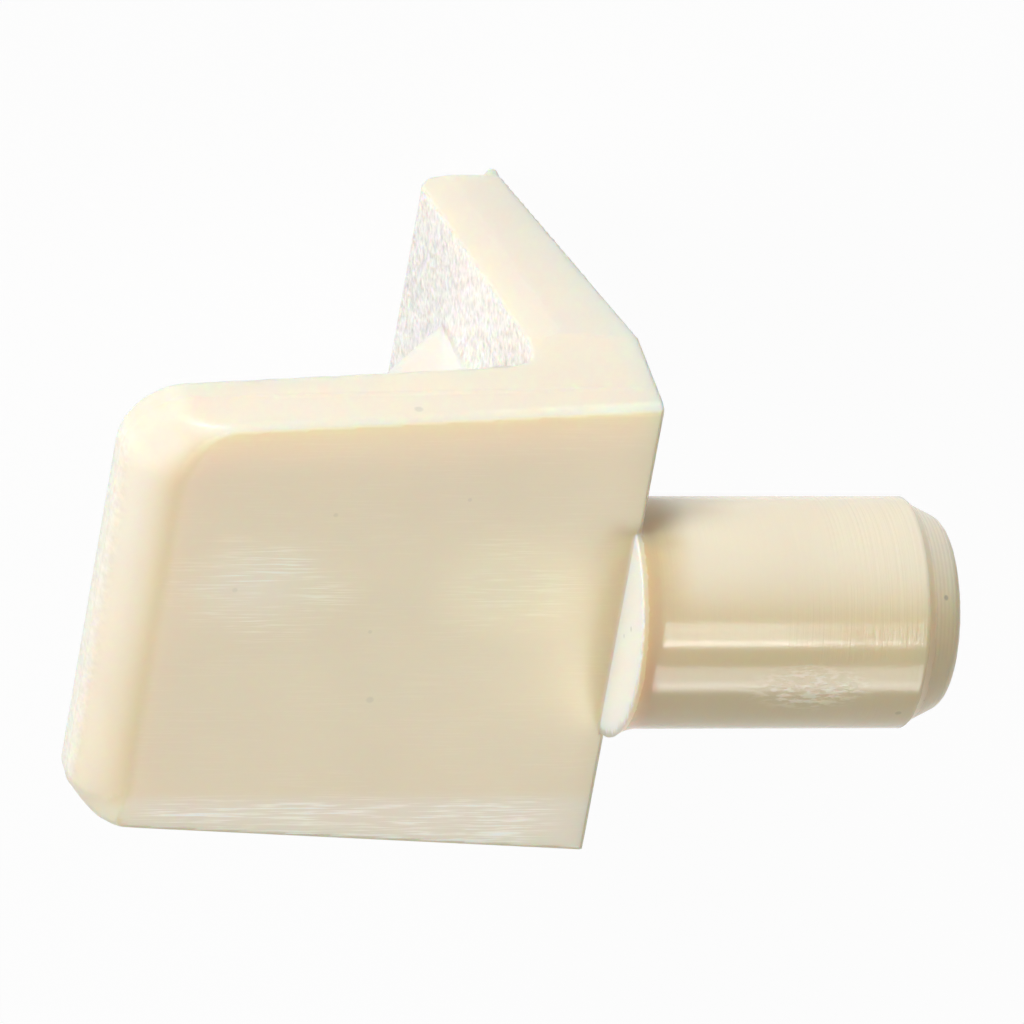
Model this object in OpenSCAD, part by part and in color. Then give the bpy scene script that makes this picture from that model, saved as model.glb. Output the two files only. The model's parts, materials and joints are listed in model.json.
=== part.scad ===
// Shelf support pin, moulded in one piece from almond plastic. The round pin goes
// into a hole in the cabinet side, the plate behind it rests against that side,
// and the shelf lies on the ledge, which a drafted web stiffens from below.
// Sizes are in millimetres. X runs along the pin, from the plate's outer face at
// X = 0. Z is up, with the pin's axis at Z = 0, and Y runs across the ledge.

/* [Pin] */
// Diameter of the pin
pin_d = 6.35; // [4:0.05:7]
// Length of the pin from the plate's outer face
pin_len = 9.1; // [7:0.1:14]
// Length of the lead-in at the tip
lead_len = 1.12; // [0.9:0.02:2]
// How far the lead-in comes in from the pin's side
lead_drop = 0.64; // [0.5:0.02:0.9]
// Rounding around the tip's end face
tip_r = 0.25; // [0.1:0.05:0.3]
// How far the collar at the root stands out from the pin
collar_w = 0.24; // [0.1:0.02:0.4]
// Length of the collar along the pin
collar_len = 0.45; // [0.2:0.05:1]

/* [Ledge] */
// Height of the seat above the pin's axis
seat_h = 0.95; // [0.6:0.05:1.6]
// Length of the ledge from the plate's outer face
ledge_len = 14.5; // [13:0.1:18]
// Width of the ledge at the plate
root_w = 14.8; // [13.6:0.1:18]
// Width of the ledge at its free end
ledge_end_w = 13; // [11:0.1:13.4]
// Thickness of the ledge
ledge_t = 2.4; // [2:0.1:3]
// Radius of the free corners in plan
ledge_corner_r = 1.4; // [0.9:0.1:3.6]
// Rounding along the seat's free edges
seat_edge_r = 0.4; // [0.2:0.05:0.8]
// Rounding under the free end
under_r = 0.25; // [0.1:0.05:0.4]

/* [Back plate] */
// Height of the plate from the seat down
plate_depth = 18; // [15:0.1:21]
// Thickness of the plate under the ledge
plate_root_t = 3.1; // [2.7:0.1:3.6]
// Thickness of the plate at its lower end
plate_end_t = 2.35; // [1.8:0.05:2.6]
// Height of the full-width shoulder from the seat down
shoulder_h = 3.1; // [2.8:0.1:4]
// Width of the plate at its lower end
plate_end_w = 6; // [4.8:0.1:8]
// Radius of the lower corners
plate_corner_r = 0.4; // [0.2:0.1:1]
// Rounding of the lower end's outer edge
plate_end_r = 0.25; // [0.15:0.05:0.4]
// Rounding of the lower end's inner edge
heel_r = 1; // [0.6:0.05:1.2]
// Rounding of the outer edge of the seat
outer_r = 0.15; // [0.1:0.05:0.4]
// Fillet between the plate and the ledge
inner_r = 0.6; // [0.3:0.1:1]

/* [Web] */
// How far along the ledge the web reaches from the plate's outer face
web_reach = 10.5; // [8:0.1:11]
// How far down the web reaches from the seat
web_depth = 12.4; // [10:0.1:13]
// Thickness of the web at its lower end
web_end_t = 3.4; // [2.4:0.1:4]
// Thickness of the web under the ledge
web_root_t = 5.6; // [4.2:0.1:6]

/* [Hidden] */
plastic = "#EFE0C4";
$fn = 96;
// Arcs meet their faces at this angle, just short of tangent
skim = 8;
// Size of a corner's cutter for each unit of the corner itself
past_edge = 1.4;
// How far the disc at the pin's root lies inside the plate's outer face
butt = 0.1;
// How far the web runs into the plate and the ledge
lap = 0.5;
// Growth of the fillet beside the web, for each millimetre up from its lower end
fillet_growth = 0.29;
fillet_steps = 8;
z_under = seat_h - ledge_t;
z_low = seat_h - plate_depth;
z_shoulder = seat_h - shoulder_h;
z_web = seat_h - web_depth;
plate_draft = (plate_root_t - plate_end_t) / (z_under - z_low);
web_draft = (web_root_t - web_end_t) / 2 / (z_under - z_web);

function unit(v) = v / norm(v);

// X of the plate's inner face, and half the web's thickness, at height z
function inner_x(z) = -plate_root_t + (z_under - z) * plate_draft;
function web_y(z) = web_end_t / 2 + (z - z_web) * web_draft;

// Centre of the arc of radius r that fits the corner v between the edges to a and b
function arc_centre(v, a, b, r) =
    let (u = unit(a - v), w = unit(b - v), half_sine = sqrt((1 - u * w) / 2))
    v + unit(u + w) * r * cos(skim) / half_sine;

// Distance from the corner to the point of each edge nearest to that centre
function arc_reach(v, a, b, r) =
    let (cosine = unit(a - v) * unit(b - v))
    r * cos(skim) * sqrt((1 + cosine) / (1 - cosine));

// What lies between a corner and the arc that rounds it, and a little past the corner's edges
module corner_piece(v, a, b, r) {
    centre = arc_centre(v, a, b, r);
    reach = arc_reach(v, a, b, r);
    kite = [centre, v + unit(a - v) * reach, v, v + unit(b - v) * reach];
    difference() {
        polygon([for (p = kite) centre + (p - centre) * past_edge]);
        translate(centre) circle(r);
    }
}

// The ledge and the plate's full width from above
module plan_outline() {
    root = root_w / 2;
    end = ledge_end_w / 2;
    difference() {
        polygon([
            [1, -root], [1, root], [0, root],
            [-ledge_len, end], [-ledge_len, -end], [0, -root]
        ]);
        for (side = [-1, 1])
            corner_piece([-ledge_len, side * end], [0, side * root], [-ledge_len, 0], ledge_corner_r);
    }
}

// The L of the ledge and the plate from the side
module side_outline() {
    top = [0, seat_h];
    foot = [0, z_low];
    heel = [-plate_end_t, z_low];
    crook = [-plate_root_t, z_under];
    chin = [-ledge_len, z_under];
    lip = [-ledge_len, seat_h];
    difference() {
        polygon([top, foot, heel, crook, chin, lip]);
        corner_piece(top, foot, lip, outer_r);
        corner_piece(foot, top, heel, plate_end_r);
        corner_piece(heel, foot, crook, heel_r);
        corner_piece(chin, crook, lip, under_r);
    }
    corner_piece(crook, heel, chin, inner_r);
}

// The shoulder and the tapered plate from the front, open above the seat
module front_outline() {
    top = seat_h + 1;
    low = [plate_end_w / 2, z_low];
    shoulder = [root_w / 2, z_shoulder];
    difference() {
        polygon([
            [-root_w, top], [root_w, top], [root_w, z_shoulder], shoulder,
            low, [-low.x, low.y], [-shoulder.x, z_shoulder], [-root_w, z_shoulder]
        ]);
        for (side = [-1, 1])
            corner_piece([side * low.x, z_low], [side * shoulder.x, z_shoulder], [0, z_low], plate_corner_r);
    }
}

module slab() {
    intersection() {
        rotate([90, 0, 0]) linear_extrude(root_w, center = true) side_outline();
        translate([0, 0, z_low]) linear_extrude(plate_depth) plan_outline();
        translate([-ledge_len - 1, 0, 0]) rotate([90, 0, 90]) linear_extrude(ledge_len + 2) front_outline();
    }
}

// Section of what comes off an edge, with the solid below and to the right of it
module edge_section() {
    inset = seat_edge_r * cos(skim);
    difference() {
        translate([-1, -inset]) square(1 + inset);
        translate([inset, -inset]) circle(seat_edge_r);
    }
}

// Cutter along a straight edge, with the solid on the left of its way from p to q
module straight_edge(p, q) {
    way = q - p;
    translate([p.x, p.y, seat_h]) rotate([0, 0, atan2(way.y, way.x)]) rotate([90, 0, 90])
        linear_extrude(norm(way)) edge_section();
}

// Cutter round the edge of a free corner
module corner_edge(centre, from, to) {
    translate([centre.x, centre.y, seat_h]) rotate([0, 0, from]) rotate_extrude(angle = to - from)
        translate([ledge_corner_r, 0]) mirror([1, 0]) edge_section();
}

// The slab with its seat rounded, first round the free corners and then along the straight edges
module rounded_slab() {
    corner = [-ledge_len, ledge_end_w / 2];
    root = [0, root_w / 2];
    end = [-ledge_len, 0];
    along = unit(root - corner);
    side_angle = atan2(along.y, along.x);
    centre = arc_centre(corner, root, end, ledge_corner_r);
    difference() {
        difference() {
            slab();
            for (side = [0, 1])
                mirror([0, side, 0]) corner_edge(centre, 90 + side_angle, 180);
        }
        for (side = [0, 1])
            mirror([0, side, 0]) straight_edge(root + along, corner - along);
        straight_edge(corner + [0, 1], [corner.x, -corner.y - 1]);
    }
}

// The triangle under the ledge, thinner towards its lower end
module web() {
    toe = [inner_x(z_web), z_web];
    slope = unit(toe - [-web_reach, z_under]);
    top = z_under + 2 * lap;
    low = z_web - lap;
    intersection() {
        rotate([90, 0, 0]) linear_extrude(root_w, center = true)
            polygon([[-web_reach, z_under] - slope * lap, [-lap, z_under + lap], toe + slope * lap]);
        translate([-ledge_len, 0, 0]) rotate([90, 0, 90]) linear_extrude(ledge_len)
            polygon([[-web_y(low), low], [web_y(low), low], [web_y(top), top], [-web_y(top), top]]);
    }
}

// Hollow fillet between the web and the plate, which widens from nothing upwards
module web_fillet() {
    top = z_under + lap;
    r = (top - z_web) * fillet_growth;
    x = inner_x(top);
    y = web_y(top);
    inside = 0.3;
    arc = [
        for (step = [0:fillet_steps])
            let (turn = 90 * step / fillet_steps)
            [x - r + r * sin(turn), y + r - r * cos(turn), top]
    ];
    rim = concat([[x + inside, y - inside, top], [x - r, y - inside, top]], arc, [[x + inside, y + r, top]]);
    toe = [inner_x(z_web) + inside / 3, web_y(z_web) - inside / 3, z_web];
    count = len(rim);
    top_faces = [for (i = [1:count - 2]) [0, i, i + 1]];
    side_faces = [for (i = [0:count - 1]) [(i + 1) % count, i, count]];
    polyhedron(concat(rim, [toe]), concat(top_faces, side_faces));
}

// The pin, whose root stands above the seat as a flat disc
module pin() {
    r = pin_d / 2;
    root_r = r + collar_w;
    end_r = r - lead_drop;
    shoulder = [r, pin_len - lead_len];
    rim = [end_r, pin_len];
    rotate([0, 90, 0]) rotate_extrude() difference() {
        polygon([[0, -butt], [root_r, -butt], [root_r, 0], [r, collar_len], shoulder, rim, [0, pin_len]]);
        corner_piece(rim, shoulder, [0, pin_len], tip_r);
    }
}

module shelf_support_pin() {
    color(plastic) {
        rounded_slab();
        web();
        for (side = [0, 1])
            mirror([0, side, 0]) web_fillet();
        pin();
    }
}

shelf_support_pin();
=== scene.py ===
import json
import math
import bpy
import numpy as np
from mathutils import Matrix, Vector


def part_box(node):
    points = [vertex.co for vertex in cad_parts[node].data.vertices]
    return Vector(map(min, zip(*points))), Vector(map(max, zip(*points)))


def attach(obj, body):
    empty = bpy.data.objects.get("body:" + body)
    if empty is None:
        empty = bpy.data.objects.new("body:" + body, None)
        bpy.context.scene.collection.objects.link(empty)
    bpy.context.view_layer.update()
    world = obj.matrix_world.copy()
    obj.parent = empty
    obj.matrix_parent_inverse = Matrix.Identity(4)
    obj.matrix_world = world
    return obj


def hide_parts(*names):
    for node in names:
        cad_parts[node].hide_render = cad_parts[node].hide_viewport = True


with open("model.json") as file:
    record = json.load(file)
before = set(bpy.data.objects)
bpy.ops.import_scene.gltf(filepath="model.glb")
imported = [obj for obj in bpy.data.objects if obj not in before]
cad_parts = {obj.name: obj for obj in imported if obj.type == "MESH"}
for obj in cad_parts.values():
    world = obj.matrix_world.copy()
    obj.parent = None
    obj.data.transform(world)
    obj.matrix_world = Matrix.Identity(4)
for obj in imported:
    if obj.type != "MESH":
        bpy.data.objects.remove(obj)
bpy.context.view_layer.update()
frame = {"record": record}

scene = bpy.context.scene
mm = 0.001

# Sizes in millimetres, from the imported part
low, high = (np.array(corner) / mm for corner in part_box("shelf_support_pin"))
mounts = {mount["name"]: mount for mount in frame["record"]["mounts"]}
pinR = mounts["pin"]["dims"]["r_mm"]
seatZ = mounts["seat"]["pos_m"][2] / mm
plateLow = low[2]
pinEnd = high[0]
ledgeEnd = low[0]
rootHalf = high[1]


def clamp01(t):
    return np.clip(t, 0.0, 1.0)


def smoothStep(start, end, t):
    s = clamp01((t - start) / (end - start))
    return s * s * (3 - 2 * s)


def roundedMax(a, b, r):
    # both solids at once, with their shared edge rounded to radius r
    outside = np.sqrt(np.maximum(a + r, 1e-9) ** 2 + np.maximum(b + r, 1e-9) ** 2)
    return np.minimum(np.maximum(a, b), -r) + outside


def roundedMin(a, b, r):
    # either solid, with a hollow fillet of radius r where they meet
    inside = np.sqrt(np.maximum(r - a, 0) ** 2 + np.maximum(r - b, 0) ** 2)
    return np.maximum(np.minimum(a, b), r) - inside


ledge = {
    "endHalf": 6.5,  # half the width at the free end
    "thick": 2.4,
    "cornerR": (1.7, 0.9),  # free corners from above, at +Y and at -Y
    "edgeR": 0.45,  # rounding along the seat's sides
    "arrisDrop": 0.16,  # how far the seat cuts that rounding short, which leaves a crisp line
    "endEdgeR": 1.6,  # softer rounding along the free end
    "endBlend": (2.8, 1.3),  # width over which the one becomes the other, at +Y and at -Y
    "sag": (0.05, 0.9),  # how far the seat falls off towards its sides and root, and over what width
    "endSag": (0.12, 2.0, 2.2),  # the same towards the free end, and the rounding of its outline
    "underR": 0.14,  # rounding along the underside
    "outerR": 0.1,  # rounding all round the outer face, on the pin's side
}
plate = {
    "rootThick": 3.1,
    "endThick": 2.35,
    "shoulder": 3.4,  # full width down to here, below the seat
    "endHalf": 3.0,
    "cornerR": 0.35,
    "heelR": 1.1,  # lower end's inner edge
    "arrisR": 0.07,  # edges of the inner face
    "crookR": 0.6,  # hollow corner between the plate and the ledge
    "bevel": (1.0, 9.0),  # width, and angle in degrees, of the tapered sides' bevel by the inner face
    "nib": (-0.18, 3.0, 0.16, 0.17),  # x, y, height above the lower end and size of the moulding nib
    "nibFillet": 0.12,
}
parting = {
    "height": 0.02,  # of the ridge where the two mould halves meet, along the ledge's sides
    "width": 0.07,
    "rootZ": -0.04,  # where it meets the plate
    "slope": 0.05,  # how much it sinks towards the free end
    "start": (-0.1, -0.5),  # it rises from nothing between these X
}

underZ = seatZ - ledge["thick"]
shoulderZ = seatZ - plate["shoulder"]
plateDraft = (plate["rootThick"] - plate["endThick"]) / (underZ - plateLow)


def sideDistance(x, y):
    # the ledge's two long sides from above
    slope = math.atan2(rootHalf - ledge["endHalf"], -ledgeEnd)
    return (np.abs(y) - rootHalf) * math.cos(slope) - np.minimum(x, 0) * math.sin(slope)


def planDistance(x, y):
    nearR, farR = ledge["cornerR"]
    return roundedMax(sideDistance(x, y), ledgeEnd - x, np.where(y > 0, nearR, farR))


def slabDistance(x, y, z):
    plan = planDistance(x, y)
    lean = math.atan2(rootHalf - plate["endHalf"], shoulderZ - plateLow)
    taper = (np.abs(y) - plate["endHalf"] - (z - plateLow) * math.tan(lean)) * math.cos(lean)
    crookX = -plate["rootThick"] - plate["crookR"]
    underR = ledge["underR"] * smoothStep(crookX, crookX - 1, x) + 0.002
    plan = np.where(x > crookX, plan, roundedMax(plan, underZ - z, underR))
    ridge = (z - parting["rootZ"] - parting["slope"] * np.minimum(x, 0)) / parting["width"]
    plan = plan - parting["height"] * np.exp(-ridge * ridge) * smoothStep(*parting["start"], x)
    bevelWidth, bevelAngle = plate["bevel"]
    innerX = -plate["rootThick"] + (underZ - z) * plateDraft
    tilt = math.radians(bevelAngle)
    bevel = taper * math.cos(tilt) + np.clip(innerX + bevelWidth - x, 0, bevelWidth + 0.1) * math.sin(tilt)
    sides = np.maximum(plan, np.maximum(taper, bevel))
    sides = roundedMax(sides, plateLow - z, plate["cornerR"])
    fade = np.where(y > 0, *ledge["endBlend"])
    toEnd = smoothStep(-1.0, 0.1, (ledgeEnd - x - sideDistance(x, y)) / fade)
    edgeR = ledge["edgeR"] + (ledge["endEdgeR"] - ledge["edgeR"]) * toEnd
    crown = ledge["arrisDrop"] * (1 - toEnd)
    sag, sagWidth = ledge["sag"]
    nearEdge = np.maximum(clamp01(1 + sideDistance(x, y) / sagWidth), clamp01(1 + x / sagWidth))
    endSag, endWidth, endRound = ledge["endSag"]
    nearEnd = clamp01(1 + roundedMax(sideDistance(x, y), ledgeEnd - x, endRound) / endWidth)
    nearEnd = nearEnd * smoothStep(-endWidth, -0.3 * endWidth, ledgeEnd - x)
    top = z - seatZ + sag * nearEdge**2 + endSag * nearEnd**2
    body = roundedMax(sides, top - crown, edgeR)
    body = np.maximum(body, top)
    body = roundedMax(body, x, ledge["outerR"])
    draft = math.atan(plateDraft)
    inner = (-plate["rootThick"] + (underZ - z) * plateDraft - x) * math.cos(draft)
    inner = roundedMax(inner, plateLow - z, plate["heelR"])
    notch = roundedMin(underZ - z, inner, plate["crookR"])
    nibX, nibY, nibUp, nibSize = plate["nib"]
    nib = np.sqrt((x - nibX) ** 2 + (y - nibY) ** 2 + (z - plateLow - nibUp) ** 2) - nibSize
    return roundedMin(roundedMax(body, notch, plate["arrisR"]), nib, plate["nibFillet"])


web = {
    "reach": 10.5,
    "depth": 12.4,
    "endHalf": 1.7,
    "rootHalf": 2.8,
    "filletGrowth": 0.29,  # the hollow fillets beside it widen by this much per millimetre upwards
    "filletStart": (-0.6, -2.2),  # they grow from nothing between these X
    "bury": 1.0,  # how far it stays inside the seat and the outer face
}
webZ = seatZ - web["depth"]
webDraft = (web["rootHalf"] - web["endHalf"]) / (underZ - webZ)


def webDistance(x, y, z):
    half = web["endHalf"] + (z - webZ) * webDraft
    side = (np.abs(y) - half) / math.sqrt(1 + webDraft ** 2)
    toeX = -plate["rootThick"] + (underZ - webZ) * plateDraft
    run = np.array([toeX + web["reach"], webZ - underZ])
    run /= np.hypot(*run)
    slope = (x + web["reach"]) * run[1] - (z - underZ) * run[0]
    return np.maximum(np.maximum(side, slope), np.maximum(x, z - seatZ) + web["bury"])


pin = {
    "butt": 0.19,  # the root's flat disc starts this far inside the plate's outer face
    "buttR": 0.03,
    "collar": 0.235,  # how far the root's collar stands out
    "collarLen": 0.75,
    "collarPower": 2.2,  # how hollow its slope is
    "break": (7.98, 8.2, 0.19),  # start, end and drop of the steeper break before the lead-in
    "leadEnd": 2.6,  # radius at the end of the lead-in
    "leadAt": 8.98,
    "tipR": 0.28,
}


def pinDistance(x, y, z):
    radial = np.sqrt(y * y + z * z)
    breakStart, breakEnd, breakDrop = pin["break"]
    collar = pin["collar"] * clamp01(1 - (x + pin["butt"]) / pin["collarLen"]) ** pin["collarPower"]
    side = radial - pinR - collar
    steep = math.atan2(breakDrop, breakEnd - breakStart)
    first = (radial - pinR) * math.cos(steep) + (x - breakStart) * math.sin(steep)
    leadR = pinR - breakDrop
    lean = math.atan2(leadR - pin["leadEnd"], pin["leadAt"] - breakEnd)
    second = (radial - leadR) * math.cos(lean) + (x - breakEnd) * math.sin(lean)
    side = np.maximum(side, np.minimum(first, second))
    side = roundedMax(side, x - pinEnd, pin["tipR"])
    return roundedMax(side, -pin["butt"] - x, pin["buttR"])


def partDistance(x, y, z):
    body = slabDistance(x, y, z)
    fillet = np.maximum((z - webZ) * web["filletGrowth"], 0.02)
    fillet = fillet * smoothStep(*web["filletStart"], x) * smoothStep(seatZ - 0.4, underZ + 0.2, z)
    body = roundedMin(body, webDistance(x, y, z), np.maximum(fillet, 1e-4))
    return np.minimum(body, pinDistance(x, y, z))


meshing = {
    "step": 0.16,  # general spacing of the grid
    "fine": 0.08,  # spacing where edges are close together
    "finest": 0.04,  # spacing across the parting ridge
    "fineX": [(-15, -13.2), (-3.4, -2), (-0.5, 0.9), (7.8, 9.5)],
    "fineY": [(5.8, 8)],
    "fineZ": [(-18, -15.8), (-2.2, 1.2)],
    "finestZ": (-0.82, 0.08),
    "margin": 0.3,
    "middleGap": 0.04,  # from the middle plane to the first grid line on each side
    "crossing": 3,  # passes that find where a grid edge meets the surface
    "settle": (24, 1.4),  # passes that move a vertex to where its tangent planes meet, and their pace
    "planeReach": 0.004,  # over what distance the tangent planes take their slope
    "normalReach": 0.03,  # and the shading
}


def gridLine(start, end, fineBands, finestBand=(0, 0)):
    # coordinates from start to end, closer together inside the bands
    spots = [start]
    while spots[-1] < end:
        inBand = any(a <= spots[-1] < b for a, b in fineBands)
        step = meshing["fine"] if inBand else meshing["step"]
        if finestBand[0] <= spots[-1] < finestBand[1]:
            step = meshing["finest"]
        spots.append(spots[-1] + step)
    return np.array(spots)


def slopeOf(distance, p, reach):
    # unit direction in which the distance grows, at each point
    grad = np.empty_like(p)
    for axis in range(3):
        step = np.zeros(3)
        step[axis] = reach
        grad[:, axis] = distance(*(p + step).T) - distance(*(p - step).T)
    return grad / np.maximum(np.linalg.norm(grad, axis=1, keepdims=True), 1e-12)


def meshFromDistance(distance, lines):
    # one vertex in each grid cell that the surface crosses, placed where its tangent planes meet
    shape = tuple(len(line) for line in lines)
    field = distance(*np.meshgrid(*lines, indexing="ij", sparse=True))
    field = np.broadcast_to(field, shape)
    solid = field < 0
    cells = tuple(n - 1 for n in shape)
    quads, points, owners = [], [], []
    for axis in range(3):
        u, v = (axis + 1) % 3, (axis + 2) % 3
        first = [slice(None)] * 3
        second = [slice(None)] * 3
        first[axis], second[axis] = slice(None, -1), slice(1, None)
        for other in (u, v):
            first[other] = second[other] = slice(1, -1)
        starts = solid[tuple(first)]
        crossed = np.argwhere(starts != solid[tuple(second)])
        node = crossed.copy()
        node[:, u] += 1
        node[:, v] += 1
        ahead = node.copy()
        ahead[:, axis] += 1
        f0, f1 = field[tuple(node.T)], field[tuple(ahead.T)]
        spot = np.stack([lines[k][node[:, k]] for k in range(3)], axis=1)
        length = lines[axis][ahead[:, axis]] - spot[:, axis]
        share = f0 / (f0 - f1)
        for _ in range(meshing["crossing"]):
            trial = spot.copy()
            trial[:, axis] += share * length
            f = distance(*trial.T)
            lower = (f < 0) == (f0 < 0)
            rise = np.where(lower, (f1 - f) / (1 - share), (f - f0) / share)
            share = np.clip(share - f / np.where(np.abs(rise) < 1e-9, 1e-9, rise), 0.001, 0.999)
        spot[:, axis] += share * length
        ring = []
        for du, dv in ((-1, -1), (0, -1), (0, 0), (-1, 0)):
            cell = node.copy()
            cell[:, u] += du
            cell[:, v] += dv
            ring.append(np.ravel_multi_index(tuple(cell.T), cells))
        ring = np.stack(ring, axis=1)
        flip = ~starts[tuple(crossed.T)]
        ring[flip] = ring[flip][:, ::-1]
        quads.append(ring)
        for corner in range(4):
            points.append(spot)
            owners.append(ring[:, corner])
    quads = np.concatenate(quads)
    points = np.concatenate(points)
    owners = np.concatenate(owners)
    used, owner = np.unique(owners, return_inverse=True)
    count = np.bincount(owner)

    def perCell(values):
        totals = [np.bincount(owner, weights=values[:, k]) for k in range(3)]
        return np.stack(totals, axis=1) / count[:, None]

    normals = slopeOf(distance, points, meshing["planeReach"])
    vertex = perCell(points)
    passes, pace = meshing["settle"]
    for _ in range(passes):
        offset = np.sum(normals * (points - vertex[owner]), axis=1, keepdims=True) * normals
        vertex += pace * perCell(offset)
    index = np.stack(np.unravel_index(used, cells), axis=1)
    lowCorner = np.stack([lines[k][index[:, k]] for k in range(3)], axis=1)
    highCorner = np.stack([lines[k][index[:, k] + 1] for k in range(3)], axis=1)
    vertex = np.clip(np.clip(vertex, lowCorner, highCorner), low, high)
    faces = np.searchsorted(used, quads)
    return vertex, faces


palenessOfWearAndLight = {
    # how far each surface is painted in the pale colour: painted light on the lit sides, disc, free end,
    # web and crest, partly painted glints on the grained face, and scuffs with a painted reflection on the
    # strip and rubbed patch
    "sides": (0.42, 0.6),  # at -Y and at +Y; painted light, more on the lit +Y side
    "disc": 0.95,
    "spark": 1.0,
    "freeEnd": 0.7,
    "web": 0.9,
    "crest": 0.55,
    # painted shade: the rest of the pin is less pale
    "pin": -0.2,
    "strip": 0.35,  # scuffed strip along the seat's -Y edge, lighter partly as a painted reflection
    # worn patch on the seat, lighter partly as a painted highlight
    "rubbed": 0.3,
    "rubbedAt": (-10.5, 1.6, 1.5, 1.1),  # x, y and the two widths of the rubbed patch
}


def markRegions(mesh, points, normals):
    # share of each vertex that belongs to each kind of surface, as mesh attributes:
    # spark is the grained inner face, crest the pin's +Y side, rim the seat beside its +Y edge
    x, y, z = points.T
    nx, ny, nz = normals.T
    radial = np.sqrt(y * y + z * z)
    onPin = (x > 0.02) & (radial < pinR + 0.3)
    toSide = sideDistance(x, y)
    regions = {
        "seat": smoothStep(0.9, 0.99, nz) * (np.abs(z - seatZ) < 0.05) * (x < 0.02),
        "spark": smoothStep(0.8, 0.97, -nx) * (x < -1.9) * (z < underZ + 0.1) * (x > -3.4),
        "freeEnd": smoothStep(0.85, 0.99, -nx) * (x < ledgeEnd + 0.5),
        "pinSide": onPin * smoothStep(0.6, 0.2, np.abs(nx)),
        "crest": onPin * smoothStep(0.35, 0.9, ny) * smoothStep(0.3, 1.6, x),
        "web": (x < -2.6) * (z < underZ + 0.05) * (np.abs(y) < web["rootHalf"] + 1.2) * (nx > -0.9),
        "corner": smoothStep(0.25, 0.6, -nx) * smoothStep(0.25, 0.6, ny) * (x < ledgeEnd + 2.5),
        "rim": (np.abs(z - seatZ) < 0.1) * (nz > 0.7) * (y > 0) * smoothStep(-1.8, -0.3, toSide),
        "disc": smoothStep(0.7, 0.97, -nx) * (x > -0.4) * (z > seatZ - 0.1),
    }
    # painted light: the sides are more pale where the lamps light them, most at +Y
    onSide = smoothStep(0.2, 0.85, np.hypot(nx, ny)) * (x < 0.02)
    rubX, rubY, rubLength, rubWidth = palenessOfWearAndLight["rubbedAt"]
    rubbed = palenessOfWearAndLight["rubbed"] * np.exp(-(((x - rubX) / rubLength) ** 2) - ((y - rubY) / rubWidth) ** 2)
    strip = palenessOfWearAndLight["strip"] * smoothStep(-5.2, -5.8, y)
    farSide, nearSide = palenessOfWearAndLight["sides"]
    sideShare = farSide + (nearSide - farSide) * smoothStep(-4, 4, y)
    paledByWearAndLight = np.maximum(regions["seat"] * np.maximum(strip, rubbed), onSide * sideShare)
    for name in ("disc", "spark", "freeEnd", "web"):
        paledByWearAndLight = np.maximum(paledByWearAndLight, palenessOfWearAndLight[name] * regions[name])
    # painted light on the lit crest, painted shade on the rest of the pin
    regions["paledByWearAndLight"] = paledByWearAndLight + palenessOfWearAndLight["crest"] * regions["crest"] + palenessOfWearAndLight["pin"] * onPin
    for name, share in regions.items():
        layer = mesh.attributes.new(name, "FLOAT", "POINT")
        layer.data.foreach_set("value", share.astype(np.float32))


def makePart():
    margin = meshing["margin"]
    xLine = gridLine(ledgeEnd - margin, pinEnd + margin, meshing["fineX"])
    half = gridLine(meshing["middleGap"], rootHalf + margin, meshing["fineY"])
    yLine = np.concatenate([-half[::-1], half])
    zLine = gridLine(plateLow - margin, pinR + 2 * margin, meshing["fineZ"], meshing["finestZ"])
    vertex, faces = meshFromDistance(partDistance, [xLine, yLine, zLine])
    mesh = bpy.data.meshes.new("shelfSupportPin")
    mesh.from_pydata((vertex * mm).tolist(), [], faces.tolist())
    mesh.update()
    mesh.shade_smooth()
    normals = slopeOf(partDistance, vertex, meshing["normalReach"])
    mesh.normals_split_custom_set_from_vertices(normals.tolist())
    markRegions(mesh, vertex, normals)
    part = bpy.data.objects.new("shelfSupportPin", mesh)
    scene.collection.objects.link(part)
    print("shelf support pin:", len(vertex), "vertices,", 2 * len(faces), "triangles")
    return part


part = makePart()


plastic = {
    # what ends in Depth, apart from scatterDepth, is the height of a relief in millimetres
    "colour": (0.86, 0.74, 0.485),
    "paledByWearAndLight": (0.9, 0.87, 0.82),  # pale colour, painted where light falls on the sides and rougher faces, and on worn places
    "roughness": 0.3,
    "pinPolish": -0.14,  # change of roughness on the pin
    "seatPolish": 0.05,
    "scuffPolish": -0.1,
    "specular": 0.7,
    "scatter": 0.9,  # share of the light that scatters inside the plastic
    "crestDense": 0.7,  # how much less of it does along the pin's +Y side
    "scatterDepth": (1.0, 0.45, 0.2),  # how deep red, green and blue go, times the scale in metres
    "scatterScale": 0.0013,
    "mottle": 0.05,  # slow change of tone over the whole part
    "streak": 0.17,  # tone of the drawn lines on the seat
    "scuffTone": 0.2,
    "scrapeTone": 0.2,
    "scrapeDepth": 0.006,
    "sparkDepth": 0.09,
    "sparkGrain": 0.12,
    "sparkTone": 0.6,
    "sparkLevel": 1.06,  # grain higher than this is lighter than the rest, partly as painted glints, and lower is darker
    "ringPitch": 0.13,  # rings on the lead-in
    "ringDepth": 0.002,
    "stepDepth": 0.0015,  # rings on the disc of the pin's root
    "toolDepth": 0.012,  # turned lines round the pin
    "grainDepth": 0.0012,  # fine grain everywhere
}

paintedLightAndShade = {
    # painted light and shade: how much lighter or darker each surface is painted for how the lamps fall on
    # it
    # painted light on the pin's lit +Y side, painted shade along its sides
    "crest": 0.14,
    "pinSide": -0.1,
    # painted light on the root's disc, which faces the lamps
    "disc": 0.11,
    # painted shade on the brightly lit free corner and web
    "corner": -0.1,
    "web": -0.06,
    # painted glow beside the seat's lit +Y edge
    "rim": 0.08,
}

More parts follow.
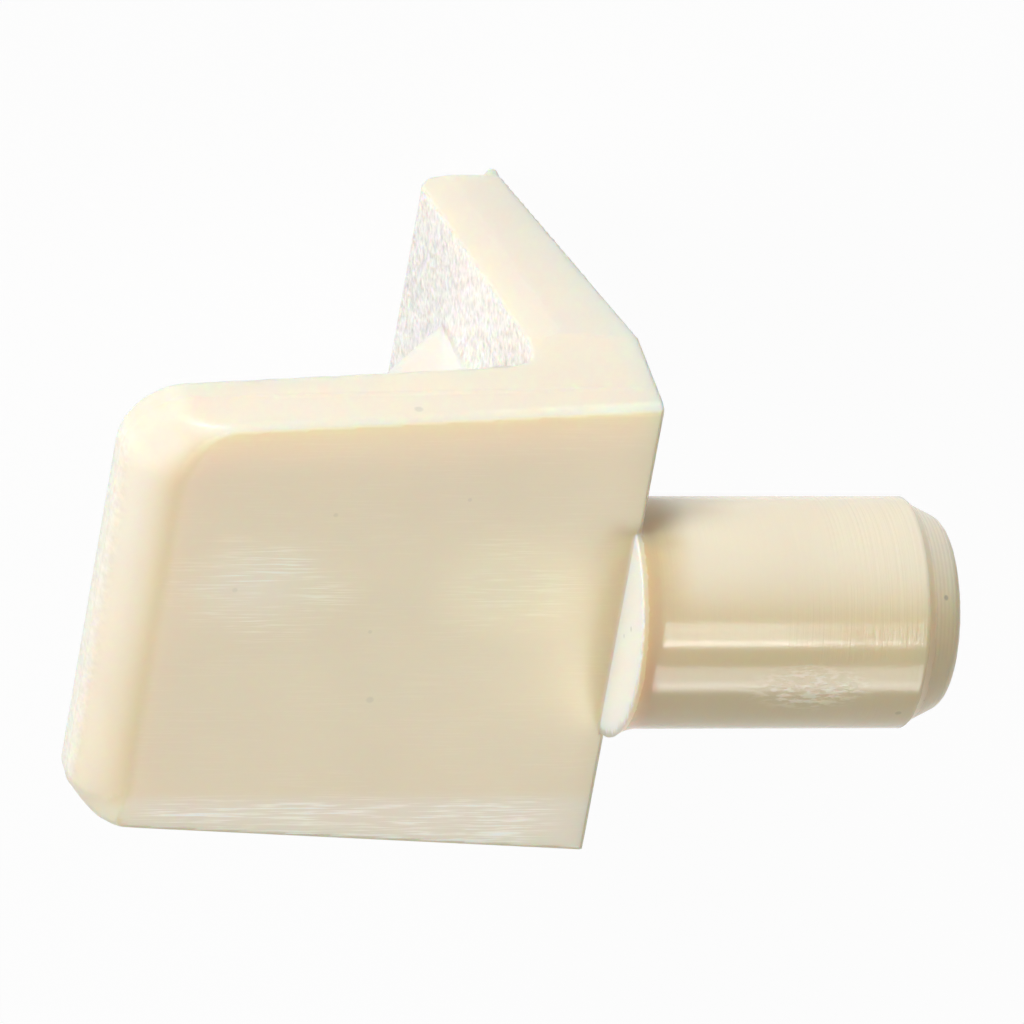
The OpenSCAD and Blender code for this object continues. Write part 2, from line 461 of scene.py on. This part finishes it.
wearAndSheen = {
    # centre and reach of each patch; the near and far patches hold the drawn lines and a painted sheen
    "near": ((-10.3, 1.5, seatZ), (3.2, 2.2, 1.0)),
    "far": ((-3.4, 1.5, seatZ), (3.0, 2.4, 1.0)),
    "scrape": ((4.8, -0.35, 3.1), (2.1, 1.0, 1.2)),
    # painted sheen: how much lighter the near and far patches are
    "nearTone": 0.05,
    "farTone": 0.08,
    "farLines": 0.45,  # drawn lines in the far patch, against the near one
    "elsewhere": 0.12,  # and on the rest of the seat
    # painted glint along the seat's near edge
    "glintTone": 0.08,
    "linePale": 0.3,  # how far the drawn lines take on the pale colour
    "scrapePale": 0.5,
}

# Dark specks in the plastic: place, radius in millimetres and how much darker
marks = [
    ((-8.71, 3.89, 0.95), 0.09, 0.1),
    ((-11.16, 1.42, 0.95), 0.1, 0.1),
    ((-7.16, 0.03, 0.95), 0.08, 0.1),
    ((-6.82, -2.23, 0.95), 0.14, 0.1),
    ((-5.03, 4.39, 0.95), 0.08, 0.1),
    ((-6.74, 6.98, 0.39), 0.16, 0.14),
    ((8.55, 1.91, 2.05), 0.1, 0.35),
    ((7.54, -1.35, 2.88), 0.12, 0.2),
    ((-0.19, 0.31, 1.56), 0.08, 0.2),
    ((-0.19, 0.87, 2.03), 0.1, 0.25),
]


class NodeKit:
    def __init__(self, tree):
        self.tree = tree
        place = tree.nodes.new("ShaderNodeTexCoord").outputs["Object"]
        self.place = self.vector("SCALE", place, scale=1000)

    def link(self, value, socket):
        if isinstance(value, (int, float, tuple)):
            socket.default_value = value
        else:
            self.tree.links.new(value, socket)

    def math(self, operation, a, b=0.0, clamp=False):
        node = self.tree.nodes.new("ShaderNodeMath")
        node.operation = operation
        node.use_clamp = clamp
        self.link(a, node.inputs[0])
        self.link(b, node.inputs[1])
        return node.outputs[0]

    def vector(self, operation, a, b=(0.0, 0.0, 0.0), scale=1.0):
        node = self.tree.nodes.new("ShaderNodeVectorMath")
        node.operation = operation
        self.link(a, node.inputs[0])
        if operation == "SCALE":
            node.inputs["Scale"].default_value = scale
        elif operation != "LENGTH":
            self.link(b, node.inputs[1])
        return node.outputs["Value" if operation in ("LENGTH", "DISTANCE") else "Vector"]

    def split(self, a):
        node = self.tree.nodes.new("ShaderNodeSeparateXYZ")
        self.link(a, node.inputs[0])
        return node.outputs

    def join(self, x, y, z):
        node = self.tree.nodes.new("ShaderNodeCombineXYZ")
        for value, socket in zip((x, y, z), node.inputs):
            self.link(value, socket)
        return node.outputs[0]

    def region(self, name):
        node = self.tree.nodes.new("ShaderNodeAttribute")
        node.attribute_name = name
        return node.outputs["Fac"]

    def ramp(self, a, start, end, low=0.0, high=1.0):
        node = self.tree.nodes.new("ShaderNodeMapRange")
        node.interpolation_type = "SMOOTHSTEP"
        self.link(a, node.inputs["Value"])
        node.inputs["From Min"].default_value = start
        node.inputs["From Max"].default_value = end
        node.inputs["To Min"].default_value = low
        node.inputs["To Max"].default_value = high
        return node.outputs["Result"]

    def patch(self, centre, reach):
        # 1 at the centre, falling to 0 at the given distances along X, Y and Z
        away = self.vector("SUBTRACT", self.place, centre)
        away = self.vector("LENGTH", self.vector("DIVIDE", away, reach))
        return self.ramp(away, 0.35, 1.0, 1.0, 0.0)

    def noise(self, size, detail=2.0, rough=0.5, stretch=(1.0, 1.0, 1.0), offset=0.0):
        # values near 0.5 that change over about the given size in millimetres
        node = self.tree.nodes.new("ShaderNodeTexNoise")
        spot = self.vector("MULTIPLY", self.place, tuple(1 / (size * k) for k in stretch))
        self.link(self.vector("ADD", spot, (offset, offset, offset)), node.inputs["Vector"])
        node.inputs["Scale"].default_value = 1.0
        node.inputs["Detail"].default_value = detail
        node.inputs["Roughness"].default_value = rough
        return node.outputs["Fac"]

    def sum(self, *values):
        total = values[0]
        for value in values[1:]:
            total = self.math("ADD", total, value)
        return total

    def product(self, *values):
        total = values[0]
        for value in values[1:]:
            total = self.math("MULTIPLY", total, value)
        return total


def makePlastic():
    material = bpy.data.materials.new("almondPlastic")
    material.use_nodes = True
    tree = material.node_tree
    kit = NodeKit(tree)
    shader = tree.nodes["Principled BSDF"]
    x, y, z = kit.split(kit.place)
    seat, spark, freeEnd = kit.region("seat"), kit.region("spark"), kit.region("freeEnd")
    crest, pinSide, disc = kit.region("crest"), kit.region("pinSide"), kit.region("disc")
    radial = kit.vector("LENGTH", kit.join(0.0, y, z))

    # drawn lines on the seat, mostly in two worn patches
    lines = kit.ramp(kit.noise(0.06, 2.0, 0.6, (26.0, 1.0, 1.0)), 0.46, 0.7)
    near = kit.patch(*wearAndSheen["near"])
    far = kit.patch(*wearAndSheen["far"])
    patchy = kit.ramp(kit.noise(0.8, 2.0, 0.5, (2.0, 1.0, 1.0), 7.3), 0.3, 0.65)
    worn = kit.product(kit.sum(wearAndSheen["elsewhere"], near, kit.product(far, wearAndSheen["farLines"])), patchy)
    drawn = kit.product(lines, worn, seat)
    # scuffed strip along the seat's far edge
    strip = kit.product(kit.ramp(y, -5.3, -5.9), kit.ramp(x, -0.6, -2.0), kit.ramp(x, -13.6, -11.5), seat)
    scuff = kit.product(lines, strip, kit.sum(0.4, kit.product(patchy, 0.7)))
    # scrape on top of the pin, in short lines
    strokes = kit.ramp(kit.noise(0.12, 2.0, 0.6, (3.0, 1.0, 1.0), 6.6), 0.44, 0.62)
    scraped = kit.product(strokes, kit.product(kit.patch(*wearAndSheen["scrape"]), pinSide))
    # painted glint along the seat's near edge
    taper = (rootHalf - ledge["endHalf"]) / -ledgeEnd
    edge = kit.math("SUBTRACT", y, kit.sum(rootHalf, kit.product(x, taper)))
    glint = kit.product(kit.ramp(edge, -0.3, -0.16), kit.ramp(z, 0.5, 0.72), kit.ramp(x, -7.0, -3.5))
    glint = kit.product(glint, kit.sum(0.4, patchy))

    # spark-eroded grain of the mould on the plate's inner face and the free end
    grain = plastic["sparkGrain"]
    coarse = kit.noise(grain * 2.3, 1.0, 0.5, offset=4.4)
    pits = kit.sum(kit.noise(grain, 1.0, 0.5, (1.0, 1.3, 2.0)), coarse)
    sparkShare = kit.math("MAXIMUM", spark, kit.product(freeEnd, 0.3))

    mottle = kit.math("SUBTRACT", kit.noise(4.0, 1.0, 0.5, (1.0, 1.0, 1.0), 1.7), 0.5)
    tone = kit.sum(
        1.0,
        kit.product(mottle, plastic["mottle"] * 2),
        kit.product(drawn, plastic["streak"]),
        # painted sheen on the seat's two worn patches
        kit.product(near, seat, wearAndSheen["nearTone"]),
        kit.product(far, seat, wearAndSheen["farTone"]),
        kit.product(scuff, plastic["scuffTone"]),
        kit.product(scraped, plastic["scrapeTone"]),
        kit.product(glint, wearAndSheen["glintTone"]),
        # painted light and shade for each region
        *(kit.product(kit.region(name), share) for name, share in paintedLightAndShade.items()),
        # the grain's lighter spots are partly painted glints
        kit.product(kit.math("SUBTRACT", pits, plastic["sparkLevel"]), sparkShare, plastic["sparkTone"]),
    )
    for centre, radius, depth in marks:
        away = kit.vector("DISTANCE", kit.place, centre)
        tone = kit.math("MULTIPLY", tone, kit.ramp(away, radius * 0.45, radius, 1 - depth, 1.0))
    # pale colour painted where light falls, on the grained face and on worn places
    paleWearAndLightShift = kit.vector("SCALE", tuple(b - a for a, b in zip(plastic["colour"], plastic["paledByWearAndLight"])))
    pale = kit.product(kit.sum(drawn, scuff), wearAndSheen["linePale"])
    pale = kit.sum(pale, kit.product(scraped, wearAndSheen["scrapePale"]))
    kit.link(kit.sum(kit.region("paledByWearAndLight"), pale), paleWearAndLightShift.node.inputs["Scale"])
    colour = kit.vector("SCALE", kit.vector("ADD", paleWearAndLightShift, plastic["colour"]))
    kit.link(tone, colour.node.inputs["Scale"])
    kit.link(colour, shader.inputs["Base Color"])

    pitted = kit.product(pits, sparkShare, plastic["sparkDepth"])
    # turned lines round the pin, strongest towards the lead-in, and rings on the lead-in
    turning = kit.noise(0.085, 2.0, 0.6, (1.0, 60.0, 60.0), 2.2)
    turned = kit.product(turning, pinSide, kit.ramp(x, 3.5, 6.5, 0.35, 1.0), plastic["toolDepth"])
    wave = kit.math("SINE", kit.product(x, 2 * math.pi / plastic["ringPitch"]))
    rings = kit.product(wave, kit.ramp(x, 8.15, 8.25), plastic["ringDepth"])
    steps = kit.sum(kit.ramp(radial, 3.0, 3.06), kit.ramp(radial, 3.17, 3.23))
    steps = kit.product(steps, disc, plastic["stepDepth"])
    fine = kit.product(kit.noise(0.07, 2.0, 0.5, offset=9.1), plastic["grainDepth"])
    height = kit.sum(pitted, turned, rings, steps, fine, kit.product(scraped, plastic["scrapeDepth"]))
    bump = tree.nodes.new("ShaderNodeBump")
    bump.inputs["Strength"].default_value = 1.0
    bump.inputs["Distance"].default_value = mm
    kit.link(height, bump.inputs["Height"])
    kit.link(bump.outputs[0], shader.inputs["Normal"])

    rough = kit.sum(
        plastic["roughness"],
        kit.product(pinSide, plastic["pinPolish"]),
        kit.product(seat, plastic["seatPolish"]),
        kit.product(scuff, plastic["scuffPolish"]),
    )
    kit.link(rough, shader.inputs["Roughness"])
    shader.inputs["Specular IOR Level"].default_value = plastic["specular"]
    clear = kit.math("SUBTRACT", 1.0, kit.product(crest, plastic["crestDense"]))
    kit.link(kit.product(clear, plastic["scatter"]), shader.inputs["Subsurface Weight"])
    shader.inputs["Subsurface Radius"].default_value = plastic["scatterDepth"]
    shader.inputs["Subsurface Scale"].default_value = plastic["scatterScale"]
    return material


part.data.materials.append(makePlastic())
print("plastic ready")
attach(part, "root")
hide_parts("shelf_support_pin")

view = {
    # which way the camera's right and top lie, and lengths in millimetres
    "right": (0.9641, 0.1515, 0.2182),
    "up": (0.0, 0.8214, -0.5704),
    "distance": 600.03,
    "pixelsPerMm": 36.69,
    "pixels": 1024,  # width and height of the render
    "sensor": 36,
    "offset": (-2.841, 2.737),  # of the camera, to the right and up
}


def makeCamera():
    right = Vector(view["right"]).normalized()
    up = Vector(view["up"])
    up = (up - right * up.dot(right)).normalized()
    back = right.cross(up)
    spot = right * view["offset"][0] + up * view["offset"][1] + back * view["distance"]
    data = bpy.data.cameras.new("camera")
    data.sensor_width = view["sensor"]
    data.lens = view["sensor"] * view["pixelsPerMm"] * view["distance"] / view["pixels"]
    data.clip_start = 0.1
    data.clip_end = 5
    camera = bpy.data.objects.new("camera", data)
    turn = Matrix((right, up, back)).transposed().to_4x4()
    camera.matrix_world = Matrix.Translation(spot * mm) @ turn
    scene.collection.objects.link(camera)
    scene.camera = camera


makeCamera()

stageLight = {
    # name: direction towards the lamp, distance, width and height in millimetres, watts,
    # and whether its glow shows in the plastic's gloss
    "key": ((-0.25, 0.955, -0.12), 260, 40, 40, 0.8, True),
    "upperLeft": ((-0.45, 0.85, 0.25), 260, 90, 90, 0.355, False),
    "left": ((-0.92, 0.1, 0.25), 260, 150, 150, 0.325, False),
    "corner": ((-0.75, 0.3, 0.6), 260, 150, 150, 0.045, True),
    "bandNear": ((0.266, 0.21, 0.94), 260, 30, 105, 0.055, True),
    "bandLine": ((0.266, 0.0675, 0.962), 260, 30, 12, 0.016, True),
    "bandFar": ((0.266, -0.649, 0.718), 260, 60, 36, 0.016, True),
    "sheen": ((0.266, -0.56, 0.785), 260, 150, 130, 0.185, True),
}


def makeLamp(name):
    direction, distance, width, height, watts, inGloss = stageLight[name]
    data = bpy.data.lights.new(name, "AREA")
    data.shape = "RECTANGLE"
    data.size = width * mm
    data.size_y = height * mm
    data.energy = watts
    lamp = bpy.data.objects.new(name, data)
    back = Vector(direction).normalized()
    side = Vector((1, 0, 0))
    side = (side - back * side.dot(back)).normalized()
    turn = Matrix((side, back.cross(side), back)).transposed().to_4x4()
    lamp.matrix_world = Matrix.Translation(back * distance * mm) @ turn
    lamp.visible_glossy = inGloss
    scene.collection.objects.link(lamp)


for lampName in stageLight:
    makeLamp(lampName)
print("camera and lamps ready:", len(stageLight), "lamps")


def whiteToCamera(tree, lit, strength):
    # white where the camera looks straight at it, in a mirror or through a clear thing; lit elsewhere
    nodes, links = tree.nodes, tree.links
    path = nodes.new("ShaderNodeLightPath")
    seen = path.outputs["Is Camera Ray"]
    for ray in ("Is Glossy Ray", "Is Transmission Ray"):
        either = nodes.new("ShaderNodeMath")
        either.operation = "MAXIMUM"
        links.new(seen, either.inputs[0])
        links.new(path.outputs[ray], either.inputs[1])
        seen = either.outputs[0]
    share = nodes.new("ShaderNodeMath")
    share.operation = "MULTIPLY"
    share.inputs[1].default_value = strength
    links.new(seen, share.inputs[0])
    white = nodes.new("ShaderNodeEmission")
    mix = nodes.new("ShaderNodeMixShader")
    links.new(share.outputs[0], mix.inputs["Fac"])
    links.new(lit, mix.inputs[1])
    links.new(white.outputs[0], mix.inputs[2])
    return mix.outputs[0]


stage = {
    "floorHalf": 3.0,  # half the floor's side, in metres
    "floorColour": (0.9, 0.9, 0.9, 1),
    "floorRoughness": 0.9,
    "floorWhite": 0.95,  # how white the floor looks, where 1 would hide its shadows
    "worldLight": 0.02,
}


def makeStage():
    mesh = bpy.data.meshes.new("floor")
    size = stage["floorHalf"]
    corners = [(-size, -size, 0), (size, -size, 0), (size, size, 0), (-size, size, 0)]
    mesh.from_pydata(corners, [], [(0, 1, 2, 3)])
    floor = bpy.data.objects.new("floor", mesh)
    floor.location = (0, 0, plateLow * mm)
    scene.collection.objects.link(floor)
    material = bpy.data.materials.new("paleFloor")
    material.use_nodes = True
    tree = material.node_tree
    shader = tree.nodes["Principled BSDF"]
    shader.inputs["Base Color"].default_value = stage["floorColour"]
    shader.inputs["Roughness"].default_value = stage["floorRoughness"]
    seen = whiteToCamera(tree, shader.outputs[0], stage["floorWhite"])
    tree.links.new(seen, tree.nodes["Material Output"].inputs["Surface"])
    mesh.materials.append(material)
    world = bpy.data.worlds.new("studio")
    world.use_nodes = True
    scene.world = world
    tree = world.node_tree
    light = tree.nodes["Background"]
    light.inputs["Strength"].default_value = stage["worldLight"]
    seen = whiteToCamera(tree, light.outputs[0], 1)
    tree.links.new(seen, tree.nodes["World Output"].inputs["Surface"])


makeStage()
print("stage ready")
scene.view_settings.view_transform = "Standard"
